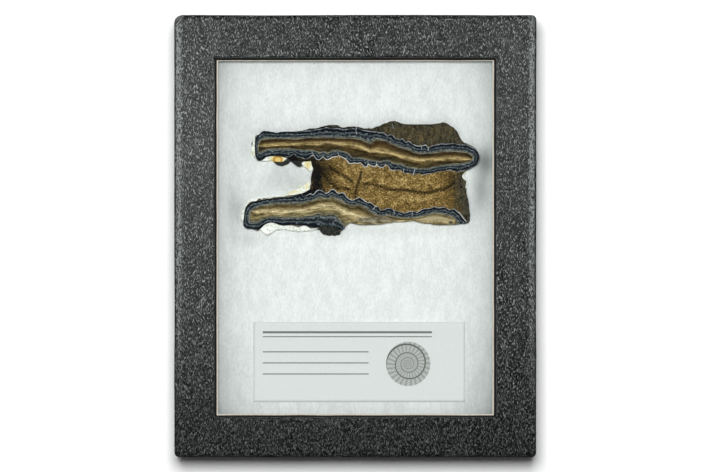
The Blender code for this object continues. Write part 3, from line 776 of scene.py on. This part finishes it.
tooth = Finish("polished_molar")
tooth_piece = finish_mesh(shape, "molar_slice", tooth)
tooth_mesh = tooth_piece.data
places = vertex_places(tooth_mesh)[:, :2]
plates = (
    (LOOP_A_OUTER, LOOP_A_INNER, PALE_STREAK_A), (LOOP_B_OUTER, LOOP_B_INNER, PALE_STREAK_B))
outer_depth = np.full(len(places), -1000.0)
inner_depth = np.full(len(places), -1000.0)
across_core = np.full(len(places), 0.5)
for outer_loop, inner_loop, streak in plates:
    outer_depth = np.maximum(outer_depth, depth_inside(places, segments_of(outer_loop, True)))
    in_core = depth_inside(places, segments_of(inner_loop, True))
    from_streak = places[:, 1] - np.interp(
        places[:, 0], [corner[0] for corner in streak], [corner[1] for corner in streak])
    share = from_streak / (np.abs(from_streak) + in_core.clip(0.01))
    across_core = np.where(in_core > 0, 0.5 + share / 2, across_core)
    inner_depth = np.maximum(inner_depth, in_core)
cracked = np.min([distance_to(places, segments_of(path)) for path in CEMENT_CRACKS], axis=0)
creased = np.min([distance_to(places, segments_of(path)) for path in WHITE_CREASES], axis=0)
between_plates = 1 / (1 + np.exp((places[:, 1] - 26) * 3))
above_left = 1 / (1 + np.exp((places[:, 0] - 7.5) * 0.8))
cement_tone = 0.32 + 0.34 * between_plates - 0.16 * above_left * (1 - between_plates)
store(tooth_mesh, "enamel_outside", outer_depth)
store(tooth_mesh, "enamel_inside", inner_depth)
store(tooth_mesh, "across_core", across_core)
store(tooth_mesh, "tooth_edge", depth_inside(places, tooth_outline))
store(tooth_mesh, "crack", cracked)
store(tooth_mesh, "crease", creased)
store(tooth_mesh, "cement_tone", cement_tone + patches_at(places, CEMENT_PATCHES))
for name, patches in (
        ("stain", DENTINE_PATCHES), ("bleached", PALE_PATCHES), ("resin_gold", GOLD_AND_HIGHLIGHT_PATCHES),
        ("resin_dark", DARK_PATCHES + LUMP_PATCHES), ("bright_line", BRIGHT_LINE_PATCHES)):
    store(tooth_mesh, name, patches_at(places, patches))


def kept(finish, name):
    """Reads a number that was kept on each vertex."""
    return finish.add("ShaderNodeAttribute", {"attribute_name": name}, output="Fac")


outside = kept(tooth, "enamel_outside")
inside = kept(tooth, "enamel_inside")
edge = kept(tooth, "tooth_edge")
across, up, height = tooth.coordinates()
coarse = tooth.cloud(0.55, detail=3.0, roughness=0.6)
fine = tooth.cloud(1.35, detail=4.0, roughness=0.7)
drawn_out = tooth.cloud(1.1, tooth.stretched((0.3, 1.0, 1.0)), 4.0, 0.65)
wobble = (fine - 0.5) * 0.55
lower_plate = tooth.ease(up, 17.0, 15.0)

# Dentine: thin brown layers that run along the plate, palest down its middle
layer = kept(tooth, "across_core")
along = tooth.add("ShaderNodeCombineXYZ", None, {
    "X": across * 0.16, "Y": layer * 9.0 + (coarse - 0.5) * 1.6, "Z": up * 0.1})
layered = tooth.cloud(1.0, along, 5.0, 0.7)
streaks = tooth.ease(layered, 0.3, 0.7)
shift = layer + (layered - 0.5) * 0.22 + (drawn_out - 0.5) * 0.2
upper_core = tooth.shades(
    shift, (0.0, 52, 52, 42), (0.08, 74, 66, 44), (0.24, 60, 50, 28), (0.34, 90, 77, 47),
    (0.42, 146, 128, 88), (0.5, 184, 164, 120), (0.6, 160, 143, 102), (0.7, 104, 88, 56),
    (0.8, 64, 50, 30), (0.9, 56, 44, 28), (1.0, 78, 72, 62))
lower_core = tooth.shades(
    shift, (0.0, 96, 95, 79), (0.1, 124, 117, 91), (0.24, 134, 122, 88), (0.34, 178, 165, 128),
    (0.5, 212, 199, 162), (0.64, 174, 160, 122), (0.74, 112, 99, 67), (0.84, 86, 77, 51),
    (0.92, 108, 99, 74), (1.0, 72, 74, 62))
dentine = tooth.blend(lower_plate, upper_core, lower_core)
dentine = tooth.blend(1.0, dentine, tooth.blend(
    streaks, (0.4, 0.34, 0.24, 1.0), (1.5, 1.48, 1.42, 1.0)), "MULTIPLY")
flecks = tooth.ease(drawn_out * 0.6 + fine * 0.4, 0.38, 0.62)
dentine = tooth.blend(
    0.7, dentine, tooth.blend(flecks, (0.3, 0.27, 0.2, 1), (1.8, 1.8, 1.75, 1)), "MULTIPLY")
bleached = kept(tooth, "bleached") + wobble
dentine = tooth.blend(tooth.ease(bleached, 0.3, 1.0) * 0.7, dentine, paint(182, 170, 136))
rough_grey = tooth.blend(tooth.ease(drawn_out, 0.4, 0.6), paint(82, 76, 54), paint(164, 156, 138))
dentine = tooth.blend(tooth.ease(bleached, -0.3, -0.8) * 0.85, dentine, rough_grey)
stain = kept(tooth, "stain") + wobble
dentine = tooth.blend(
    tooth.ease(stain, 0.15, 1.0) * (0.3 + 0.4 * streaks), dentine, paint(108, 74, 40))
dentine = tooth.blend(tooth.ease(stain, -0.15, -1.0) * 0.8, dentine, paint(40, 38, 32))

# Enamel: blue-black outside and greyer inside, with fine broken lines that follow it
share = outside / (outside - inside) + wobble * 0.3
enamel = tooth.shades(
    share, (0.0, 44, 51, 55), (0.14, 16, 21, 27), (0.34, 27, 34, 40), (0.46, 74, 85, 90),
    (0.55, 24, 31, 37), (0.72, 42, 49, 53), (0.84, 104, 111, 110), (0.92, 52, 54, 47),
    (1.0, 100, 95, 75))
broken = tooth.ease(drawn_out, 0.42, 0.58)
crinkled = share + (tooth.cloud(0.95, detail=2.0) - 0.5) * 0.9
middle_line = tooth.line(crinkled, 0.42, 0.08) * (0.2 + 0.8 * broken)
inner_band = tooth.line(crinkled, 0.8, 0.08) * (1.0 - 0.7 * broken)
enamel = tooth.blend(tooth.most(middle_line, inner_band) * 0.7, enamel, paint(140, 150, 154))
mottled = tooth.blend(
    tooth.ease(fine, 0.36, 0.64), (0.25, 0.25, 0.26, 1), (1.8, 1.8, 1.8, 1))
enamel = tooth.blend(0.75, enamel, mottled, "MULTIPLY")

# Cement: golden-brown and granular, with pale and dark grains, and weathered grey above
# the upper plate and at the right end
grain = tooth.cloud(1.9, detail=3.0, roughness=0.8)
pale_grain = tooth.ease(tooth.cells(1.5), 0.28, 0.08) * tooth.ease(coarse, 0.4, 0.6)
tone = kept(tooth, "cement_tone") + (grain - 0.5) * 2.0 + (coarse - 0.5) * 0.9
tone = tone + pale_grain * 0.22
cement = tooth.shades(
    tone, (0.0, 18, 17, 18), (0.2, 34, 32, 25), (0.36, 60, 52, 31), (0.52, 89, 71, 36),
    (0.66, 123, 97, 50), (0.8, 154, 124, 68), (0.92, 190, 160, 100), (1.0, 216, 192, 134))
crack = kept(tooth, "crack") + (fine - 0.5) * 1.5
cement = tooth.blend(
    tooth.ease(crack, 0.85, 0.1) * tooth.ease(coarse, 0.3, 0.5) * 0.9, cement, paint(30, 24, 14))
upright = tooth.cloud(1.3, tooth.stretched((1.0, 0.3, 1.0)), 3.0, 0.65)
above_plate = tooth.ease(up, 26.0, 28.0) * tooth.ease(outside, -0.1, -0.6)
weathered = tooth.blend(
    tooth.ease(upright * 0.5 + fine * 0.5, 0.38, 0.6), paint(24, 27, 24), paint(104, 99, 80))
cement = tooth.blend(above_plate * 0.5, cement, weathered)
cement = tooth.blend(tooth.ease(across, 30.0, 34.5) * 0.6, cement, weathered)

# The three meet in crinkled pale lines, and short white creases cross the enamel
tissue = tooth.blend(tooth.ease(outside, -0.05, 0.05), cement, enamel)
tissue = tooth.blend(tooth.ease(inside, -0.05, 0.05), tissue, dentine)
brightness = kept(tooth, "bright_line")
line_strength = tooth.ease(
    tooth.cloud(0.7, detail=3.0, roughness=0.7) + brightness * 0.2, 0.42, 0.66)
outer_line = tooth.line(outside + wobble * 0.4, 0.02, 0.18) * tooth.ease(edge, 0.1, 0.4)
tissue = tooth.blend(
    outer_line * (0.16 + 0.84 * line_strength), tissue,
    tooth.blend(tooth.ease(brightness, 0.0, 0.9), paint(178, 188, 196), paint(246, 248, 250)))
inner_line = tooth.line(inside + wobble * 0.4, 0.0, 0.2) * (0.25 + 0.75 * broken)
tissue = tooth.blend(inner_line * 0.75, tissue, paint(176, 168, 140))
crease = tooth.ease(kept(tooth, "crease") + wobble * 0.2, 0.2, 0.02)
tissue = tooth.blend(crease * 0.8, tissue, paint(214, 220, 226))

# Resin: whitish, partly its own pale colour and partly painted highlight, honey-coloured in
# places, dark where matrix shows
gold_and_drop_highlight = kept(tooth, "resin_gold") + wobble * 0.5
resin = tooth.blend(tooth.ease(fine, 0.38, 0.6), (0.6, 0.62, 0.54, 1), (0.95, 0.96, 0.92, 1))
resin = tooth.blend(tooth.ease(gold_and_drop_highlight, 0.12, 0.6) * 0.85, resin, (0.74, 0.64, 0.3, 1))
resin = tooth.blend(tooth.ease(gold_and_drop_highlight, 0.78, 0.95), resin, paint(206, 150, 44))
# Painted highlight: the palest middle of the amber drop
resin = tooth.blend(tooth.ease(gold_and_drop_highlight, 1.2, 1.6) * 0.9, resin, paint(250, 222, 140))
dark = kept(tooth, "resin_dark") + wobble * 0.9
rubble = tooth.shades(
    grain, (0.36, 14, 16, 13), (0.5, 36, 39, 34), (0.6, 56, 60, 52), (0.72, 120, 124, 112))
resin = tooth.blend(tooth.ease(dark, 0.35, 0.65), resin, rubble)
tissue = tooth.blend(tooth.ease(edge, 0.02, -0.08), tissue, resin)
splinter = tooth.line(across, -18.6, 2.2) * tooth.line(up, 22.9, 1.3)
tissue = tooth.blend(tooth.ease(splinter, 0.05, 0.2) * 0.8, tissue, paint(48, 50, 46))
polish = tooth.ease(height, 14.5, 14.7)
tooth.vary(
    Base_Color=tissue, Roughness=0.72 - 0.6 * polish,
    Normal=tooth.relief(grain, 0.012 * MM))
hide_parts("tooth_slice")
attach(tooth_piece, "root")


# Batting: a thick pad of loose white polyester fibre. The glass presses it flat, and it
# gives way round the slice, which lies in a pocket of its own shape, and under the card.
PAD_HALF = np.array((53.15, 65.85))
PAD_FLOOR = 2.0
PAD_TOP = 14.62
POCKET_FLOOR = 8.45
CARD_MIDDLE = np.array((1.25, -39.8))
CARD_HALF = np.array((33.5, 12.7))
CARD_TOP = 14.75
PAD_STEP = 0.6
UNDER_CARD = 14.22
BESIDE_CARD = 14.61
HIGHEST_TUFT = 14.95
WINDOW_HALF = np.array((44.45, 57.15))
SHADOW = (0.1, 0.12, 0.115, 1.0)
# Where the pad lies deeper or in shadow: middle, reach and how much darker
SHADED_PATCHES = (
    ((-21.0, 18.3), (8.5, 4.2), 0.3), ((-38.0, 9.0), (2.6, 7.0), 0.3),
    ((-35.0, 28.5), (2.6, 5.0), 0.14), ((41.0, 23.5), (3.0, 4.6), 0.5),
    ((39.6, 14.0), (2.6, 6.5), 0.42), ((-34.0, -1.0), (5.0, 2.4), 0.14),
    ((8.0, 1.5), (24.0, 1.4), 0.12), ((40.0, -48.0), (7.0, 14.0), 0.12),
    ((-40.0, -46.0), (7.0, 12.0), 0.1),
)

shape = bmesh.new()
cells_x, cells_y = (2 * PAD_HALF / PAD_STEP).astype(int)
bmesh.ops.create_grid(shape, x_segments=int(cells_x), y_segments=int(cells_y), size=1.0)
bmesh.ops.scale(shape, verts=shape.verts, vec=(PAD_HALF[0] * MM, PAD_HALF[1] * MM, 1))
rim = [edge for edge in shape.edges if edge.is_boundary]
skirt = bmesh.ops.extrude_edge_only(shape, edges=rim)["geom"]
low = verts_of(skirt)
bmesh.ops.translate(shape, verts=low, vec=(0, 0, (PAD_FLOOR - PAD_TOP) * MM))
low_edges = [part for part in skirt if isinstance(part, bmesh.types.BMEdge)
             and all(vert in set(low) for vert in part.verts)]
bmesh.ops.contextual_create(shape, geom=low_edges)
bmesh.ops.translate(shape, verts=shape.verts, vec=(0, 0, PAD_TOP * MM))

batting = Finish("white_batting", Roughness=1.0, Sheen_Weight=0.2)
pad = finish_mesh(shape, "batting_pad", batting)
places = vertex_places(pad.data)
on_top = places[:, 2] > PAD_TOP - 0.1
spots = places[:, :2]
gap = -depth_inside(spots, tooth_underside)
card_gap = (np.abs(spots - CARD_MIDDLE) - CARD_HALF).max(axis=1)
soft = np.array([
    noise.noise(Vector((x * 0.09, y * 0.06, 1.0))) * 0.35
    + noise.noise(Vector((x * 0.35, y * 0.22, 2.0))) * 0.16
    + noise.noise(Vector((x * 1.1, y * 0.6, 3.0))) * 0.07
    for x, y in spots])
hollow_by_slice = 1.3 * np.exp(-np.clip(gap, 0, None) / 2.2)
top_height = PAD_TOP - 0.25 + soft - hollow_by_slice
by_card = np.exp(-np.clip(card_gap, 0, None) / 1.5)
beside_card = top_height * (1 - by_card) + BESIDE_CARD * by_card
top_height = np.where(card_gap < -0.9, UNDER_CARD, beside_card)
top_height = np.where(gap < -0.75, POCKET_FLOOR, top_height).clip(None, HIGHEST_TUFT)
places[:, 2] = np.where(on_top, top_height, places[:, 2])
set_vertex_places(pad.data, places)

# The batting is darker where the case's border, the slice or a fold keeps light from it
to_window = WINDOW_HALF - np.abs(spots)
shade = 0.53 * np.exp(-np.clip(to_window[:, 0], 0, None) / 5.6)
shade += 0.3 * np.exp(-np.clip(to_window[:, 1], 0, None) / 3.6)
shade += 0.07 * np.exp(-np.clip(to_window[:, 1], 0, None) / 18)
shade += 0.1 * np.exp(-np.clip(gap, 0, None) / 1.6) + patches_at(spots, SHADED_PATCHES)
store(pad.data, "shade", shade)
tufts = batting.cloud(0.4, batting.stretched((1.0, 0.4, 1.0)), 4.0, 0.6)
wisps = batting.cloud(2.0, batting.stretched((1.0, 0.4, 1.0)), 4.0, 0.7)
matted = batting.ease(tufts * 0.4 + wisps * 0.6, 0.38, 0.62)
lit = batting.blend(matted, (0.7, 0.72, 0.715, 1.0), (0.85, 0.86, 0.85, 1.0))
batting.vary(
    Base_Color=batting.blend(kept(batting, "shade"), lit, SHADOW),
    Normal=batting.relief(wisps, 0.35 * MM, 0.6))
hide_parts("batting")
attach(pad, "root")


# Label card: a slip of pale paper, printed with a double rule, three ruled lines for notes
# and a small spiral shell. It is pressed into the batting under the glass.
CARD_THICKNESS = 0.3
RULES_START = -30.5
WIDE_RULES_END = 23.0
NOTE_LINES_END = 3.0
SHELL_RADIUS = 7.0
RIBS_IN_TURN = 26
shape = bmesh.new()
bmesh.ops.create_grid(shape, x_segments=68, y_segments=26, size=1.0)
bmesh.ops.scale(shape, verts=shape.verts, vec=(CARD_HALF[0] * MM, CARD_HALF[1] * MM, 1))
bmesh.ops.translate(
    shape, verts=shape.verts,
    vec=(CARD_MIDDLE[0] * MM, CARD_MIDDLE[1] * MM, (CARD_TOP - 0.05) * MM))
for vert in shape.verts:
    vert.co.z += noise.noise(vert.co * 60) * 0.05 * MM
raised = bmesh.ops.extrude_face_region(shape, geom=shape.faces[:])["geom"]
bmesh.ops.translate(shape, verts=verts_of(raised), vec=(0, 0, -CARD_THICKNESS * MM))

card_paper = Finish("card_paper", Roughness=0.85)
card_x, card_y, _ = card_paper.coordinates()
card_x = card_x - float(CARD_MIDDLE[0])
card_y = card_y - float(CARD_MIDDLE[1])


def ruled(middle_y, thickness, to_x):
    """A printed line, from the left margin to to_x."""
    off = card_paper.work_out("ABSOLUTE", card_y - middle_y)
    line = card_paper.ease(off, thickness * 0.5 + 0.06, thickness * 0.5 - 0.06)
    ends = card_paper.ease(card_x, RULES_START - 0.05, RULES_START + 0.05)
    return line * ends * card_paper.ease(card_x, to_x + 0.05, to_x - 0.05)


print_marks = ruled(9.4, 0.7, WIDE_RULES_END)
for middle_y, thickness, to_x in (
        (8.0, 0.32, WIDE_RULES_END), (3.2, 0.34, NOTE_LINES_END),
        (-0.3, 0.34, NOTE_LINES_END), (-3.8, 0.34, NOTE_LINES_END)):
    print_marks = card_paper.most(print_marks, ruled(middle_y, thickness, to_x))
shell_x = card_x - 15.5
shell_y = card_y + 0.6
radius = card_paper.work_out("SQRT", shell_x * shell_x + shell_y * shell_y)
turn = card_paper.work_out("ARCTAN2", shell_y, shell_x) / (2 * math.pi)
coil = card_paper.work_out("LOGARITHM", card_paper.most(radius, 0.2), 1.75)
winding = card_paper.work_out("FRACT", coil - turn)
suture = card_paper.ease(card_paper.work_out("ABSOLUTE", winding - 0.5), 0.36, 0.47)
ribs = card_paper.work_out("SINE", turn * 2 * math.pi * RIBS_IN_TURN + winding * 2.4)
ribbed = card_paper.ease(ribs, -0.2, 0.8) * 0.24
rim_of_shell = card_paper.ease(radius, SHELL_RADIUS + 0.05, SHELL_RADIUS - 0.05)
shell = rim_of_shell * card_paper.most(suture, ribbed + 0.4)
mottle = card_paper.cloud(1.2, detail=3.0)
blank = card_paper.blend(mottle, (0.63, 0.65, 0.64, 1.0), (0.69, 0.705, 0.695, 1.0))
printed = card_paper.blend(print_marks * 0.85, blank, paint(88, 90, 88))
printed = card_paper.blend(shell * 0.95, printed, paint(78, 78, 68))
card_paper.vary(Base_Color=printed, Normal=card_paper.relief(mottle, 0.02 * MM))
card = finish_mesh(shape, "printed_card", card_paper)
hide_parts("label_card")
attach(card, "root")
